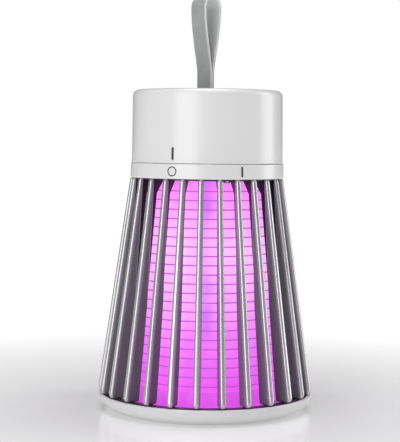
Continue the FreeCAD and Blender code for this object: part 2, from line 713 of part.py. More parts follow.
# ---- grid core -----------------------------------------------------------------------------------
def make_collar():
    """The top of the core, which hangs from the neck and holds the crown from below."""
    low, high = COLLAR_Z
    spigot_r = core_r(COLLAR_SPIGOT_Z) - DIFFUSER_BEHIND - DIFFUSER_WALL - 0.3
    spigot_z, web_z = COLLAR_SPIGOT_Z, COLLAR_WEB_Z
    collar = turned([(COLLAR_BORE_R, web_z), (spigot_r - 1.8, web_z), (spigot_r - 1.8, spigot_z),
                     (spigot_r - 0.3, spigot_z), (spigot_r - 0.3, low), (COLLAR_R, low, 0.4),
                     (COLLAR_R, high, 0.4), (COLLAR_BORE_R, high)])
    for azimuth in CORE_SCREW_AZIMUTHS:
        x, y = at_polar(CORE_SCREW_R, azimuth)
        collar = collar.cut(rod(1.25, COLLAR_SPIGOT_Z - 1, high + 1, x, y))
    for azimuth in BUS_AZIMUTHS:
        groove = block(BUS_WIDTH + 0.4, 14.0, COLLAR_SPIGOT_Z - 1, low + 0.01, 0, -29.0)
        x, y = at_polar(TERMINAL_R, azimuth)
        collar = collar.cut(spin(groove, azimuth)).cut(rod(0.85, low - 5, high + 1, x, y))
    return collar


def make_core_screws():
    """The screws that join the core to the head's neck."""
    places = [at_polar(CORE_SCREW_R, azimuth) for azimuth in CORE_SCREW_AZIMUTHS]
    return Part.makeCompound([pan_screw(x, y, COLLAR_WEB_Z, 2.2, 1.4, 1.05, 11.0) for x, y in places])


def make_core_base():
    """The dish that closes the core from below and holds the ribs."""
    low, floor, top = CORE_BOTTOM_Z, CORE_FLOOR_Z, CORE_SKIRT_TOP_Z
    base = turned([(0, low), (core_r(low) + 0.3, low, 0.8), (core_r(top) + 0.3, top, 0.4),
                   (core_r(top) - 2.3, top), (core_r(floor) - 2.3, floor), (0, floor)])
    return base.cut(rod(1.6, low - 1, floor + 1)).cut(rod(3.3, low - 1, BASE_SCREW_SEAT_Z))


def make_ribs():
    """The upright ribs, notched where each wire crosses them."""
    low, high = CORE_SKIRT_TOP_Z, COLLAR_Z[0]
    inner = DIFFUSER_BEHIND - 0.05
    corners = [(core_r(high) - inner, high), (core_r(low) - inner, low), (core_r(low) + RIB_PROUD, low)]
    for z in wire_heights():
        for dz, depth in ((-NOTCH_HALF, 0), (-0.3, NOTCH_DEPTH), (0.3, NOTCH_DEPTH), (NOTCH_HALF, 0)):
            corners.append((core_r(z + dz) + RIB_PROUD - depth, z + dz))
    corners.append((core_r(high) + RIB_PROUD, high))
    rib = blade(corners, RIB_THICKNESS)
    step = 360.0 / RIB_COUNT
    return Part.makeCompound([side_to(rib, RIB_AZIMUTH + i * step) for i in range(RIB_COUNT)])


def make_wires(first):
    """Every second grid wire, a closed hoop in the ribs' notches."""
    hoops = [Part.makeTorus(core_r(z), WIRE_R, vec(0, 0, z)) for z in wire_heights()[first::2]]
    return Part.makeCompound(hoops)


def make_bus_bar(azimuth, first):
    """A strip behind the wires with a tab to every second one, bent in under the collar."""
    low, high = WIRE_Z[0] - 1.0, COLLAR_Z[0] - 0.1
    far, near = BUS_BEHIND
    strip = blade([(core_r(high) - far, high), (core_r(low) - far, low), (core_r(low) - near, low),
                   (core_r(high) - near, high)], BUS_WIDTH)
    for z in wire_heights()[first::2]:
        tab = Part.makeBox(near - WIRE_R + 0.15, BUS_WIDTH, 0.4,
                           vec(core_r(z) - near - 0.1, -BUS_WIDTH / 2, z - 0.2))
        strip = strip.fuse(tab)
    inward = Part.makeBox(7.2, BUS_WIDTH, 0.5, vec(core_r(high) - far - 6.8, -BUS_WIDTH / 2, high - 0.5))
    return side_to(strip.fuse(inward).removeSplitter(), azimuth)


def make_terminals():
    """The two brass pins that carry the high voltage through the collar."""
    pins = []
    for azimuth in BUS_AZIMUTHS:
        x, y = at_polar(TERMINAL_R, azimuth)
        pins.append(rod(0.8, COLLAR_Z[0] - 0.1, COLLAR_Z[1] + 3.0, x, y))
    return Part.makeCompound(pins)


def make_diffuser():
    """The thin tapered shade behind the wires that spreads the violet light."""
    low, high = CORE_FLOOR_Z, COLLAR_Z[0]
    outer = [core_r(z) - DIFFUSER_BEHIND for z in (low, high)]
    shade = turned([(outer[0] - DIFFUSER_WALL, low), (outer[0], low), (outer[1], high),
                    (outer[1] - DIFFUSER_WALL, high)])
    for azimuth in BUS_AZIMUTHS:
        shade = shade.cut(spin(block(BUS_WIDTH + 0.4, 12.0, high - 0.8, high + 1, 0, -28.0), azimuth))
    return shade


def make_post():
    """The three-sided hollow post that carries the lamp boards."""
    low, high = CORE_FLOOR_Z, COLLAR_SPIGOT_Z - 1.0
    corners = [vec(*at_polar(2 * POST_R, azimuth), low) for azimuth in (60, 180, 300)]
    prism = Part.Face(Part.makePolygon(corners + corners[:1])).extrude(vec(0, 0, high - low))
    post = prism.common(rod(1.75 * POST_R, low, high))
    hollow = rod(POST_R - 1.8, low + 14, high + 1)
    return post.cut(rod(1.3, low - 1, low + 12)).cut(hollow)


def make_base_screw():
    """The screw that holds the core's base to the post."""
    return pan_screw(0, 0, BASE_SCREW_SEAT_Z, 3.0, 1.1, 1.25, 10.0)


def make_post_arms():
    """The spider that hangs the post from the collar."""
    low, high = COLLAR_SPIGOT_Z - 1.0, COLLAR_WEB_Z
    hub = rod(9.0, low, high)
    arms = [spin(block(6.0, 14.0, low, high, 0, -13.0), azimuth) for azimuth in (0, 120, 240)]
    spider = hub.multiFuse(arms)
    rim = tube(17.0, 19.0, high - 0.9, high)
    return spider.common(rod(19.0, low - 1, high + 1)).fuse(rim).removeSplitter()


def make_lamp_boards():
    """The three narrow lamp boards on the post's flats."""
    wide, thick, tall = LED_BOARD_SIZE
    plate = block(wide, thick, LED_BOARD_Z, LED_BOARD_Z + tall, 0, -POST_R - thick / 2)
    return Part.makeCompound([spin(plate, azimuth) for azimuth in (0, 120, 240)])


def make_lamps():
    """The violet lamps, evenly spaced on each board."""
    wide, thick, tall = LED_SIZE
    y = -POST_R - LED_BOARD_SIZE[1] - thick / 2
    pitch = LED_BOARD_SIZE[2] / LED_ROWS
    lamps = []
    for azimuth in (0, 120, 240):
        for row in range(LED_ROWS):
            low = LED_BOARD_Z + (row + 0.5) * pitch - tall / 2
            body = block(wide, thick, low, low + tall, 0, y)
            lens = Part.makeCylinder(1.3, 0.6, vec(0, y - thick / 2 - 0.6, low + tall / 2), vec(0, 1, 0))
            lamps.append(spin(body.fuse(lens), azimuth))
    return Part.makeCompound(lamps)


def make_grid_leads():
    """The two high-voltage leads from the board down the neck to the pins."""
    leads = []
    for azimuth, side in zip(BUS_AZIMUTHS, (1, -1)):
        x, y = at_polar(TERMINAL_R, azimuth)
        end = vec(x, y, COLLAR_Z[1] + 3.0)
        points = [vec(side * 3.2, 4.5, BOARD_Z[0]), vec(side * 3.2, 4.5, 131.0),
                  vec(side * 4.0, 12.0, 128.0),
                  vec(end.x, end.y, 130.5), end]
        leads.append(lead(points, 0.6, (0, 3.5, 6.0, 2.2, 0)))
    return Part.makeCompound(leads)


def make_ring_screws():
    """The screws up through the crown into the switch ring."""
    return Part.makeCompound([pan_screw(x, y, CROWN_Z[0], 2.0, 1.1, 0.9, RING_SCREW_LENGTH)
                              for x, y in ring_screw_places()])


def main():
    """Makes every piece and writes one file for each."""
    os.makedirs("parts", exist_ok=True)
    ring_marks, cap_mark = make_ring_marks(), make_cap_mark()
    bus_bars = [make_bus_bar(azimuth, first) for first, azimuth in enumerate(BUS_AZIMUTHS)]
    pieces = {
        "collecting_tray": make_tray(),
        "guard_bottom_ring": make_bottom_ring(),
        "guard_fins": around_guard(make_fin()),
        "guard_webs": around_guard(make_web()),
        "guard_crown": make_crown(),
        "switch_ring": make_ring_body().cut(ring_marks),
        "switch_ring_marks": ring_marks,
        "ring_screws": make_ring_screws(),
        "switch_cam": make_cam(),
        "top_cap": make_cap().cut(cap_mark),
        "cap_pointer_mark": cap_mark,
        "head_chassis": make_chassis(),
        "chassis_screws": make_chassis_screws(),
        "strap_loop": make_strap_loop(),
        "strap_root": make_strap_root(),
        "strap_clamp": make_strap_clamp(),
        "clamp_screws": make_clamp_screws(),
        "battery_cell": make_cell(),
        "battery_saddles": make_saddles(),
        "battery_tabs": make_cell_tabs(),
        "battery_leads": make_cell_leads(),
        "circuit_board": make_board(),
        "board_screws": make_board_screws(),
        "step_up_transformer": make_transformer(),
        "multiplier_capacitors": make_capacitors(),
        "board_chips": make_chips(),
        "charging_port": make_port(),
        "charge_light_pipe": make_light_pipe(),
        "power_switch_body": make_switch_body(),
        "switch_plunger": make_plunger(),
        "core_collar": make_collar(),
        "core_screws": make_core_screws(),
        "core_base": make_core_base(),
        "base_screw": make_base_screw(),
        "grid_ribs": make_ribs(),
        "grid_wires_live": make_wires(0),
        "grid_wires_return": make_wires(1),
        "grid_bus_bar_live": bus_bars[0],
        "grid_bus_bar_return": bus_bars[1],
        "grid_terminals": make_terminals(),
        "grid_leads": make_grid_leads(),
        "light_diffuser": make_diffuser(),
        "lamp_post": make_post(),
        "lamp_post_spider": make_post_arms(),
        "lamp_boards": make_lamp_boards(),
        "violet_lamps": make_lamps(),
    }
    for name, shape in pieces.items():
        solids = shape.Solids
        flaws = [solid for solid in solids if not solid.isValid() or solid.Volume <= 0]
        print(f"{name}: {len(solids)} solids, {shape.Volume:.0f} mm3, {len(flaws)} flaws")
        kept = solids[0] if len(solids) == 1 else Part.makeCompound(solids)
        kept.exportStep(f"parts/{name}.step")


main()
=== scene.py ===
import math

import bmesh
import bpy
from mathutils import Matrix, Vector


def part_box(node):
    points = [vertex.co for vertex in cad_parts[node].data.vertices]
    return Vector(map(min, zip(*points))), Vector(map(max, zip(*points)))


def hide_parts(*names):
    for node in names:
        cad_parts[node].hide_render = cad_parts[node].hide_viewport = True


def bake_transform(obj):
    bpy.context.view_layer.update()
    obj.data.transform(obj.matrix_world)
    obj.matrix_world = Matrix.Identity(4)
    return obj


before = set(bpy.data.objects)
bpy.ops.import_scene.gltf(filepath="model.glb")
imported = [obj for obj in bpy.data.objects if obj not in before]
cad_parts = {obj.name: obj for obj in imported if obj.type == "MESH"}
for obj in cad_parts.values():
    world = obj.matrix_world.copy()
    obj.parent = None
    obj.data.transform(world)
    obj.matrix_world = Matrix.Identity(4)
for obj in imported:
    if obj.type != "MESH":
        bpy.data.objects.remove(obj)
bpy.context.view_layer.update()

# ---- sizes in metres, worked out from the frame --------------------------------------------------
MM = 0.001
CAP_TOP_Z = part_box("top_cap")[1].z
ROOT_TOP_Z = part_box("strap_root")[1].z
SHADE_LOW, SHADE_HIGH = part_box("light_diffuser")
STRAP_LOW, STRAP_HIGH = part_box("strap_loop")
FIN_LOW, FIN_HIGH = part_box("guard_fins")

FIN_LOW_R, FIN_HIGH_R = 57.97 * MM, 41.18 * MM       # the fins' outer edge at their foot and top
FIN_STEP_Z = 60.0 * MM                               # above this a black web stands behind each fin
FIN_STEP_R, FIN_TOP_INNER_R = 43.5 * MM, 39.3 * MM   # the fins' inner edge there and at the top
FIN_SHADE_DEPTH = (1.2 * MM, 2.4 * MM)               # where the silver nose fades into the flank's painted shade
FIN_RAGGED = 0.15 * MM                               # how unevenly it does so
FIN_INNER_HIGHLIGHT = (0.25 * MM, 0.7 * MM)               # width of the painted highlight, a silver line on the inner edge
FIN_INNER_HIGHLIGHT_Z = (FIN_STEP_Z - 5 * MM, FIN_STEP_Z + 15 * MM)   # where that painted highlight begins

STRAP_WIDTH = 10.0 * MM
STRAP_THICKNESS = 1.44 * MM
STRAP_TURN = math.radians(-42)      # the strap's width direction, from +X
STRAP_X = (STRAP_LOW.x + STRAP_HIGH.x) / 2
STRAP_EDGE_HIGHLIGHT = (0.45 * MM, 0.2 * MM)  # where the painted highlight on the edge begins and is full, from the strap's side
STRAP_LEG_GAP = 0.02 * MM           # between the two legs where they lie together
STRAP_MERGE_Z = CAP_TOP_Z + 9.2 * MM
STRAP_LOOP_R = 6.0 * MM
STRAP_LOOP_Z = STRAP_HIGH.z - STRAP_LOOP_R - STRAP_THICKNESS / 2
STRAP_SWELL = (5.0 * MM, 13.0 * MM)  # how far the legs run straight at the foot and the top

PLASTIC_IOR = 1.5
LAMP_SPACING = math.radians(120)
LAMP_SPREAD = (math.radians(1.5), math.radians(12))  # the half width of a lamp's patch, full and faded
# how strongly the violet lamps show through the shade, from its foot to its top
LAMP_GLOW = ((0.0, 0.0), (0.2, 0.0), (0.34, 0.8), (0.46, 0.75),
             (0.6, 0.35), (0.8, 0.3), (0.92, 0.75), (1.0, 0.5))
# the lit shade's colour, from its foot to its top
SHADE_GLOW = ((0.0, (0.62, 0.08, 0.68)), (0.12, (0.68, 0.11, 0.74)), (0.3, (0.74, 0.20, 0.85)),
              (0.5, (0.82, 0.38, 0.90)), (0.72, (0.86, 0.45, 0.90)), (0.88, (0.85, 0.33, 0.88)),
              (1.0, (0.82, 0.22, 0.82)))

FLOOR_RADIUS = 6.0
FLOOR_FADE_R = (0.04, 0.32)         # the floor turns from shaded grey to plain white between these
FLOOR_GLOW = (0.19, 1.0)            # how much of its own white it shows at each
LIGHT_AIM_Z = 0.11

CAMERA_DISTANCE = 0.746
CAMERA_HEIGHT = 0.1445
CAMERA_TILT = math.radians(3.33)    # looking down
CAMERA_PAN = math.radians(0.27)     # looking a little to the left of the object
CAMERA_ROLL = math.radians(0.6)
CAMERA_LENS = 112.85                # millimetres, as is the sensor's height
SENSOR_HEIGHT = 36.0


# ---- node helpers ---------------------------------------------------------------------------------
def link(tree, source, target):
    """Joins an output socket to an input socket."""
    tree.links.new(source, target)


def node(tree, kind, **settings):
    """A new node with its properties set."""
    made = tree.nodes.new(kind)
    for name, value in settings.items():
        setattr(made, name, value)
    return made


def new_material(name):
    """An empty node material with its shader, and object coordinates in metres."""
    material = bpy.data.materials.new(name)
    material.use_nodes = True
    tree = material.node_tree
    shader = tree.nodes["Principled BSDF"]
    place = node(tree, "ShaderNodeTexCoord")
    return material, tree, shader, place.outputs["Object"]


def noise(tree, place, scale, detail=3.0, stretch=(1, 1, 1)):
    """A noise value from 0 to 1 at a scale in repeats per metre."""
    mapping = node(tree, "ShaderNodeMapping")
    mapping.inputs["Scale"].default_value = [scale * s for s in stretch]
    link(tree, place, mapping.inputs["Vector"])
    texture = node(tree, "ShaderNodeTexNoise")
    texture.inputs["Scale"].default_value = 1.0
    texture.inputs["Detail"].default_value = detail
    link(tree, mapping.outputs["Vector"], texture.inputs["Vector"])
    return texture.outputs["Fac"]


def ramp(tree, value, stops):
    """A colour ramp. A stop is (position, (r, g, b))."""
    made = node(tree, "ShaderNodeValToRGB")
    elements = made.color_ramp.elements
    while len(elements) > 1:
        elements.remove(elements[-1])
    elements[0].position = stops[0][0]
    elements[0].color = (*stops[0][1], 1)
    for position, colour in stops[1:]:
        elements.new(position).color = (*colour, 1)
    link(tree, value, made.inputs["Fac"])
    return made.outputs["Color"]


def grey_ramp(tree, value, low, high, start=0.3, end=0.7):
    """A value ramped evenly between two numbers."""
    return ramp(tree, value, [(start, (low,) * 3), (end, (high,) * 3)])


def map_range(tree, value, from_low, from_high, to_low, to_high):
    """A value moved from one range to another, held at the ends."""
    made = node(tree, "ShaderNodeMapRange")
    numbers = (from_low, from_high, to_low, to_high)
    for name, number in zip(("From Min", "From Max", "To Min", "To Max"), numbers):
        made.inputs[name].default_value = number
    link(tree, value, made.inputs["Value"])
    return made.outputs["Result"]


def maths(tree, operation, first, second=None):
    """A maths node on two sockets or numbers."""
    made = node(tree, "ShaderNodeMath", operation=operation)
    for i, value in enumerate((first, second)):
        if value is None:
            continue
        if isinstance(value, (int, float)):
            made.inputs[i].default_value = value
        else:
            link(tree, value, made.inputs[i])
    return made.outputs[0]


def mix_colour(tree, share, first, second, blend="MIX"):
    """A mix of two colours, each a socket or (r, g, b)."""
    made = node(tree, "ShaderNodeMix", data_type="RGBA", blend_type=blend)
    for socket, value in ((made.inputs["Factor"], share), (made.inputs[6], first), (made.inputs[7], second)):
        if isinstance(value, (int, float)):
            socket.default_value = value
        elif isinstance(value, tuple):
            socket.default_value = (*value, 1)
        else:
            link(tree, value, socket)
    return made.outputs[2]


def bump(tree, shader, height, distance, strength=1.0):
    """Puts a bump of that height in metres on the shader."""
    made = node(tree, "ShaderNodeBump")
    made.inputs["Strength"].default_value = strength
    made.inputs["Distance"].default_value = distance
    link(tree, height, made.inputs["Height"])
    link(tree, made.outputs["Normal"], shader.inputs["Normal"])


def parts_of(tree, place):
    """The x, y and z of a place."""
    split = node(tree, "ShaderNodeSeparateXYZ")
    link(tree, place, split.inputs[0])
    return split.outputs


def darker(colour, share):
    """A darker version of a colour."""
    return tuple(c * share for c in colour)


# ---- materials ---------------------------------------------------------------------------------------
def moulded(name, colour, roughness, grain=1500, depth=0.00002, coat=0.0):
    """Moulded plastic: slight colour and gloss variation and a fine texture."""
    spread = 0.06
    material, tree, shader, place = new_material(name)
    broad = noise(tree, place, 28, 2.0)
    lighter = tuple(min(1.0, c * (1 + spread)) for c in colour)
    tint = ramp(tree, broad, [(0.3, darker(colour, 1 - spread)), (0.7, lighter)])
    link(tree, tint, shader.inputs["Base Color"])
    fine = noise(tree, place, 160, 3.0)
    link(tree, grey_ramp(tree, fine, roughness * 0.85, roughness * 1.15), shader.inputs["Roughness"])
    shader.inputs["IOR"].default_value = PLASTIC_IOR
    shader.inputs["Coat Weight"].default_value = coat
    shader.inputs["Coat Roughness"].default_value = 0.12
    bump(tree, shader, noise(tree, place, grain, 2.0), depth, 0.5)
    return material


def drawn_metal(name, colour, roughness):
    """Metal with a fine grain in one direction."""
    material, tree, shader, place = new_material(name)
    shader.inputs["Metallic"].default_value = 1.0
    lines = noise(tree, place, 900, 3.0, (1, 1, 12))
    tint = ramp(tree, lines, [(0.3, darker(colour, 0.86)), (0.7, colour)])
    link(tree, tint, shader.inputs["Base Color"])
    link(tree, grey_ramp(tree, lines, roughness * 0.8, roughness * 1.25), shader.inputs["Roughness"])
    bump(tree, shader, lines, 0.000015, 0.5)
    return material


def white_shell():
    """Gloss white moulding, with faint smears where hands hold it."""
    material, tree, shader, place = new_material("white_shell")
    broad = noise(tree, place, 22, 3.0)
    tint = ramp(tree, broad, [(0.3, (0.815, 0.815, 0.82)), (0.7, (0.835, 0.835, 0.835))])
    link(tree, tint, shader.inputs["Base Color"])
    smears = noise(tree, place, 60, 5.0, (1, 1, 0.4))
    link(tree, grey_ramp(tree, smears, 0.278, 0.29), shader.inputs["Roughness"])
    shader.inputs["IOR"].default_value = PLASTIC_IOR
    shader.inputs["Coat Weight"].default_value = 0.5
    shader.inputs["Coat Roughness"].default_value = 0.22
    shader.inputs["Subsurface Weight"].default_value = 0.05
    shader.inputs["Subsurface Radius"].default_value = (0.002, 0.002, 0.002)
    shader.inputs["Subsurface Scale"].default_value = 1.0
    bump(tree, shader, noise(tree, place, 420, 2.0), 0.00001, 0.35)
    return material


def grey_fin():
    """Satin silver paint on the fins' noses. The dark grey flanks are painted shade, and a silver line along
    the inner edge is a painted highlight.
    """
    material, tree, shader, place = new_material("grey_fin")
    x, y, z = parts_of(tree, place)
    radius = maths(tree, "SQRT", maths(tree, "ADD", maths(tree, "MULTIPLY", x, x),
                                       maths(tree, "MULTIPLY", y, y)))
    edge_r = map_range(tree, z, FIN_LOW.z, FIN_HIGH.z, FIN_LOW_R, FIN_HIGH_R)
    flow = noise(tree, place, 240, 3.0, (1, 1, 0.08))
    ragged = maths(tree, "MULTIPLY", maths(tree, "SUBTRACT", flow, 0.5), FIN_RAGGED)
    depth = maths(tree, "ADD", maths(tree, "SUBTRACT", edge_r, radius), ragged)
    # Painted shade: the flanks turn dark grey away from the silver nose.
    shaded_flank = map_range(tree, depth, *FIN_SHADE_DEPTH, 0.0, 1.0)
    inner_r = map_range(tree, z, FIN_STEP_Z, FIN_HIGH.z, FIN_STEP_R, FIN_TOP_INNER_R)
    # Painted highlight: a silver line along the fins' inner edge, fading in from mid height.
    inner_highlight = map_range(tree, maths(tree, "SUBTRACT", radius, inner_r), *FIN_INNER_HIGHLIGHT, 1.0, 0.0)
    inner_highlight_rise = map_range(tree, z, *FIN_INNER_HIGHLIGHT_Z, 0.0, 0.75)
    outside_inner_highlight = maths(tree, "SUBTRACT", 1.0, maths(tree, "MULTIPLY", inner_highlight, inner_highlight_rise))
    shaded_flank = maths(tree, "MULTIPLY", shaded_flank, outside_inner_highlight)
    nose_tint = ramp(tree, flow, [(0.3, (0.56, 0.558, 0.575)), (0.7, (0.63, 0.628, 0.645))])
    flank_shade_tint = ramp(tree, flow, [(0.3, (0.150, 0.172, 0.152)), (0.7, (0.190, 0.214, 0.193))])
    link(tree, mix_colour(tree, shaded_flank, nose_tint, flank_shade_tint), shader.inputs["Base Color"])
    link(tree, map_range(tree, shaded_flank, 0.0, 1.0, 0.75, 0.15), shader.inputs["Metallic"])
    fleck = noise(tree, place, 2600, 2.0)
    gloss = grey_ramp(tree, fleck, 0.26, 0.38)
    link(tree, maths(tree, "ADD", gloss, maths(tree, "MULTIPLY", shaded_flank, 0.14)), shader.inputs["Roughness"])
    shader.inputs["Coat Weight"].default_value = 0.15
    shader.inputs["Coat Roughness"].default_value = 0.25
    bump(tree, shader, fleck, 0.00001, 0.4)
    return material


def grey_silicone():
    """Soft matt silicone with fine dust and a powdery sheen. Its edges are paler as a painted highlight, its
    inner face is lightened as painted light against its shade, and it is darker towards the bottom.
    """
    material, tree, shader, place = new_material("grey_silicone")
    cloud = noise(tree, place, 130, 4.0)
    tint = ramp(tree, cloud, [(0.3, (0.29, 0.30, 0.30)), (0.7, (0.35, 0.36, 0.36))])
    speck = grey_ramp(tree, noise(tree, place, 2400, 1.0), 0.0, 1.0, 0.66, 0.74)
    dusty = mix_colour(tree, maths(tree, "MULTIPLY", speck, 0.25), tint, (0.50, 0.50, 0.50))
    x, y, z = parts_of(tree, place)
    inside = node(tree, "ShaderNodeAttribute", attribute_name="inside").outputs["Fac"]
    # Painted light: the inner face is lightened to take out the shade it lies in.
    band = mix_colour(tree, inside, dusty, (0.53, 0.535, 0.535))
    along_x = maths(tree, "MULTIPLY", maths(tree, "SUBTRACT", x, STRAP_X), math.cos(STRAP_TURN))
    along_y = maths(tree, "MULTIPLY", y, math.sin(STRAP_TURN))
    across = maths(tree, "ABSOLUTE", maths(tree, "ADD", along_x, along_y))
    side = STRAP_WIDTH / 2
    # Painted highlight: the strap's sides are paler.
    edge = map_range(tree, across, side - STRAP_EDGE_HIGHLIGHT[0], side - STRAP_EDGE_HIGHLIGHT[1], 0.0, 1.0)
    # Darker towards the bottom, lighter towards the top.
    height_tint = map_range(tree, z, CAP_TOP_Z, STRAP_HIGH.z, 0.84, 1.16)
    strap_colour = mix_colour(tree, 1.0, mix_colour(tree, edge, band, (0.62, 0.62, 0.62)), height_tint, "MULTIPLY")
    link(tree, strap_colour, shader.inputs["Base Color"])
    link(tree, grey_ramp(tree, cloud, 0.42, 0.58), shader.inputs["Roughness"])
    shader.inputs["Sheen Weight"].default_value = 0.35
    shader.inputs["Sheen Roughness"].default_value = 0.5
    bump(tree, shader, noise(tree, place, 1400, 3.0), 0.00003, 0.5)
    return material


def lit_shade():
    """The milky shade, lit from inside: pink, paler half way up, violet in front of the lamps."""
    material, tree, shader, place = new_material("lit_shade")
    x, y, z = parts_of(tree, place)
    up = map_range(tree, z, SHADE_LOW.z, SHADE_HIGH.z, 0.0, 1.0)
    glow = ramp(tree, up, SHADE_GLOW)
    around = maths(tree, "ARCTAN2", x, maths(tree, "MULTIPLY", y, -1.0))
    fold = maths(tree, "PINGPONG", maths(tree, "ABSOLUTE", around), LAMP_SPACING / 2)
    in_front = map_range(tree, fold, *LAMP_SPREAD, 1.0, 0.0)
    lamps = ramp(tree, up, [(share, (value,) * 3) for share, value in LAMP_GLOW])
    patches = grey_ramp(tree, noise(tree, place, 60, 2.0), 0.55, 1.0, 0.4, 0.6)
    lamp_share = maths(tree, "MULTIPLY", maths(tree, "MULTIPLY", in_front, patches), lamps)
    tinted = mix_colour(tree, lamp_share, glow, (0.38, 0.10, 0.95))
    cloud = grey_ramp(tree, noise(tree, place, 75, 3.0), 0.86, 1.08)
    link(tree, tinted, shader.inputs["Emission Color"])
    link(tree, maths(tree, "MULTIPLY", cloud, 0.98), shader.inputs["Emission Strength"])
    link(tree, mix_colour(tree, 0.5, tinted, (0.35, 0.05, 0.38)), shader.inputs["Base Color"])
    link(tree, grey_ramp(tree, cloud, 0.30, 0.42), shader.inputs["Roughness"])
    bump(tree, shader, noise(tree, place, 900, 2.0), 0.00002, 0.4)
    return material


def lit_rib():
    """Tinted clear ribs that catch the violet light at their edges."""
    material, tree, shader, place = new_material("lit_rib")
    cloud = noise(tree, place, 300, 3.0)
    tint = ramp(tree, cloud, [(0.3, (0.22, 0.02, 0.26)), (0.7, (0.36, 0.05, 0.42))])
    link(tree, tint, shader.inputs["Base Color"])
    # Painted light: the ribs glow violet though they are no lamp.
    link(tree, tint, shader.inputs["Emission Color"])
    shader.inputs["Emission Strength"].default_value = 0.55
    link(tree, grey_ramp(tree, cloud, 0.2, 0.35), shader.inputs["Roughness"])
    bump(tree, shader, noise(tree, place, 1500, 2.0), 0.00002, 0.4)
    return material


def grid_steel():
    """Bare steel wire, dulled by use and washed with the violet light that passes round it."""
    material, tree, shader, place = new_material("grid_steel")
    shader.inputs["Metallic"].default_value = 0.8
    soot = noise(tree, place, 260, 4.0)
    # Painted reflection: the purple of these tints is the violet shade mirrored in the wire.
    tint = ramp(tree, soot, [(0.3, (0.20, 0.10, 0.21)), (0.7, (0.34, 0.20, 0.35))])
    link(tree, tint, shader.inputs["Base Color"])
    link(tree, grey_ramp(tree, soot, 0.48, 0.62), shader.inputs["Roughness"])
    # Painted light: the wire glows violet though it is no lamp.
    shader.inputs["Emission Color"].default_value = (0.48, 0.07, 0.52, 1)
    shader.inputs["Emission Strength"].default_value = 0.95
    bump(tree, shader, noise(tree, place, 3000, 2.0), 0.000008, 0.4)
    return material


def paint(nodes, material):
    """Gives CAD nodes a material."""
    for name in nodes:
        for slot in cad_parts[name].material_slots:
            slot.material = material


def paint_all():
    """A procedural material for every CAD node."""
    paint(("collecting_tray", "switch_ring", "top_cap"), white_shell())
    paint(("guard_fins",), grey_fin())
    paint(("guard_webs", "guard_crown", "head_chassis"),
          moulded("black_moulding", (0.012, 0.012, 0.013), 0.38))
    paint(("guard_bottom_ring",), moulded("dark_ring", (0.045, 0.044, 0.047), 0.42))
    paint(("switch_ring_marks", "cap_pointer_mark"),
          moulded("mark_ink", (0.05, 0.05, 0.053), 0.5, 3000, 0.00001))
    paint(("strap_loop", "strap_root"), grey_silicone())
    paint(("light_diffuser", "core_base", "core_collar"), lit_shade())
    paint(("grid_ribs",), lit_rib())
    paint(("grid_wires_live", "grid_wires_return"), grid_steel())
    paint(("ring_screws", "chassis_screws", "clamp_screws", "board_screws", "core_screws", "base_screw"),
          drawn_metal("screw_steel", (0.55, 0.55, 0.57), 0.35))
    paint(("charging_port", "battery_tabs", "grid_bus_bar_live", "grid_bus_bar_return"),
          drawn_metal("plated_strip", (0.66, 0.65, 0.62), 0.28))
    paint(("grid_terminals",), drawn_metal("terminal_brass", (0.75, 0.53, 0.22), 0.3))
    paint(("battery_cell",), moulded("cell_sleeve", (0.02, 0.12, 0.42), 0.25, 700, coat=0.3))
    paint(("circuit_board", "lamp_boards"), moulded("board_green", (0.01, 0.09, 0.035), 0.3, 2600, coat=0.2))
    paint(("step_up_transformer",), moulded("winding_tape", (0.62, 0.36, 0.03), 0.3, 800, coat=0.2))
    paint(("multiplier_capacitors",), moulded("capacitor_sleeve", (0.015, 0.03, 0.12), 0.22, 700, coat=0.3))
    paint(("board_chips", "power_switch_body"), moulded("chip_epoxy", (0.015, 0.015, 0.017), 0.5, 3200))
    paint(("charge_light_pipe",), moulded("clear_pipe", (0.75, 0.78, 0.78), 0.12, 900, coat=0.5))
    paint(("battery_saddles", "strap_clamp", "lamp_post", "lamp_post_spider", "switch_cam", "switch_plunger"),
          moulded("white_bracket", (0.62, 0.62, 0.60), 0.45, 1200))
    paint(("battery_leads", "grid_leads"), moulded("lead_sleeve", (0.42, 0.015, 0.012), 0.35, 1800))
    paint(("violet_lamps",), moulded("lamp_package", (0.72, 0.66, 0.80), 0.3, 1500, coat=0.4))


# ---- strap --------------------------------------------------------------------------------------------
def bezier(points, share):
    """A point on a cubic curve."""
    a, b, c, d = points
    left = 1 - share
    return a * left ** 3 + b * (3 * left ** 2 * share) + c * (3 * left * share ** 2) + d * share ** 3


def strap_path():
    """The strap's centreline in its own plane, as (across, up), from one end round to the other."""
    start = (STRAP_THICKNESS + STRAP_LEG_GAP) / 2
    poles = (Vector((start, STRAP_MERGE_Z)), Vector((start, STRAP_MERGE_Z + STRAP_SWELL[0])),
             Vector((STRAP_LOOP_R, STRAP_LOOP_Z - STRAP_SWELL[1])), Vector((STRAP_LOOP_R, STRAP_LOOP_Z)))
    straight_steps, curve_steps, arc_steps = 14, 40, 16
    side = [Vector((start, ROOT_TOP_Z + (STRAP_MERGE_Z - ROOT_TOP_Z) * i / straight_steps))
            for i in range(straight_steps)]
    side += [bezier(poles, i / curve_steps) for i in range(curve_steps)]
    arc = [Vector((STRAP_LOOP_R * math.cos(math.pi * i / (2 * arc_steps)),
                   STRAP_LOOP_Z + STRAP_LOOP_R * math.sin(math.pi * i / (2 * arc_steps))))
           for i in range(arc_steps)]
    half = side + arc
    top = [Vector((0, STRAP_LOOP_Z + STRAP_LOOP_R))]
    return half + top + [Vector((-p.x, p.y)) for p in reversed(half)]


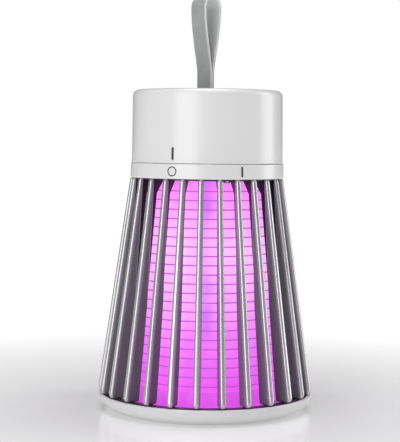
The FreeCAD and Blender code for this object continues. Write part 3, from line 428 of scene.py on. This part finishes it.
def strap_section():
    """The strap's section, as (across its width, through its thickness): a flat bar with round corners."""
    half_w, half_t = STRAP_WIDTH / 2, STRAP_THICKNESS / 2
    round_r = half_t * 0.45
    steps = 5
    points = []
    for sx, sy, start in ((1, 1, 0), (-1, 1, 90), (-1, -1, 180), (1, -1, 270)):
        for i in range(steps + 1):
            angle = math.radians(start + 90 * i / steps)
            points.append((sx * (half_w - round_r) + round_r * math.cos(angle),
                           sy * (half_t - round_r) + round_r * math.sin(angle)))
    return points


def make_strap():
    """The silicone strap as one band, whose legs curve apart above the cap."""
    path, section = strap_path(), strap_section()
    mesh = bmesh.new()
    place = Matrix.Translation((STRAP_X, 0, 0)) @ Matrix.Rotation(STRAP_TURN, 4, "Z")
    rings = []
    for i, point in enumerate(path):
        ahead, behind = path[min(i + 1, len(path) - 1)], path[max(i - 1, 0)]
        along = (ahead - behind).normalized()
        if i in (0, len(path) - 1):
            along = Vector((0, 1 if i == 0 else -1))
        out = Vector((along.y, -along.x))
        ring = []
        for wide, thick in section:
            across = point.x + out.x * thick
            up = point.y + out.y * thick
            ring.append(mesh.verts.new(place @ Vector((wide, across, up))))
        rings.append(ring)
    count = len(section)
    for first, second in zip(rings, rings[1:]):
        for i in range(count):
            mesh.faces.new((first[i], first[(i + 1) % count], second[(i + 1) % count], second[i]))
    mesh.faces.new(rings[0][::-1])
    mesh.faces.new(rings[-1])
    bmesh.ops.recalc_face_normals(mesh, faces=mesh.faces)
    data = bpy.data.meshes.new("strap_band")
    mesh.to_mesh(data)
    mesh.free()
    data.shade_smooth()
    # Marks the inner face, which the material lightens as painted light.
    inside = data.attributes.new("inside", "FLOAT", "POINT")
    marks = [1.0 if thick < 0 else 0.0 for wide, thick in section]
    inside.data.foreach_set("value", marks * len(path))
    strap = bpy.data.objects.new("strap_band", data)
    bpy.context.scene.collection.objects.link(strap)
    data.materials.append(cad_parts["strap_root"].material_slots[0].material)
    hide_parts("strap_loop")
    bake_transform(strap)


# ---- stage, light and camera ------------------------------------------------------------------------------
def make_floor():
    """A pale floor, which turns plain white away from the object."""
    bpy.ops.mesh.primitive_circle_add(vertices=96, radius=FLOOR_RADIUS, fill_type="NGON", location=(0, 0, 0))
    floor = bpy.context.object
    floor.name = "floor"
    material, tree, shader, place = new_material("floor")
    distance = node(tree, "ShaderNodeVectorMath", operation="LENGTH")
    link(tree, place, distance.inputs[0])
    far = map_range(tree, distance.outputs["Value"], *FLOOR_FADE_R, *FLOOR_GLOW)
    link(tree, mix_colour(tree, far, (0.86, 0.86, 0.865), (0.02, 0.02, 0.02)), shader.inputs["Base Color"])
    shader.inputs["Emission Color"].default_value = (1, 1, 1, 1)
    link(tree, far, shader.inputs["Emission Strength"])
    link(tree, grey_ramp(tree, noise(tree, place, 30, 3.0), 0.16, 0.24), shader.inputs["Roughness"])
    floor.data.materials.append(material)


def softbox(name, azimuth, elevation, distance, size, power):
    """A rectangular soft light that faces the object's middle."""
    target = Vector((0, 0, LIGHT_AIM_Z))
    a, e = math.radians(azimuth), math.radians(elevation)
    direction = Vector((math.sin(a) * math.cos(e), -math.cos(a) * math.cos(e), math.sin(e)))
    data = bpy.data.lights.new(name, "AREA")
    data.shape = "RECTANGLE"
    data.size, data.size_y = size
    data.energy = power
    light = bpy.data.objects.new(name, data)
    bpy.context.scene.collection.objects.link(light)
    light.location = target + direction * distance
    light.rotation_euler = (-direction).to_track_quat("-Z", "Y").to_euler()


def make_light():
    """Soft studio light: a tall box front left, one right, one above, and a pale room."""
    softbox("key_left", -31, 14, 1.3, (0.8, 1.1), 7.5)
    softbox("fill_right", 103, 12, 1.2, (0.6, 1.1), 5.5)
    softbox("top", 0, 88, 1.4, (1.0, 1.0), 13.0)
    world = bpy.data.worlds.new("room")
    bpy.context.scene.world = world
    world.use_nodes = True
    tree = world.node_tree
    background = tree.nodes["Background"]
    path = node(tree, "ShaderNodeLightPath")
    link(tree, mix_colour(tree, path.outputs["Is Camera Ray"], (0.11, 0.11, 0.112), (1.0, 1.0, 1.0)),
         background.inputs["Color"])


def make_camera():
    """The camera, level with the lantern's upper half and looking slightly down."""
    data = bpy.data.cameras.new("camera")
    data.sensor_fit = "VERTICAL"
    data.sensor_height = SENSOR_HEIGHT
    data.lens = CAMERA_LENS
    data.clip_start = 0.01
    camera = bpy.data.objects.new("camera", data)
    bpy.context.scene.collection.objects.link(camera)
    camera.location = (0, -CAMERA_DISTANCE, CAMERA_HEIGHT)
    look = Matrix.Rotation(CAMERA_PAN, 4, "Z") @ Matrix.Rotation(math.pi / 2 - CAMERA_TILT, 4, "X")
    camera.rotation_euler = (look @ Matrix.Rotation(CAMERA_ROLL, 4, "Z")).to_euler()
    bpy.context.scene.camera = camera


make_camera()
paint_all()
make_strap()
make_floor()
make_light()
bpy.context.scene.view_settings.view_transform = "Standard"
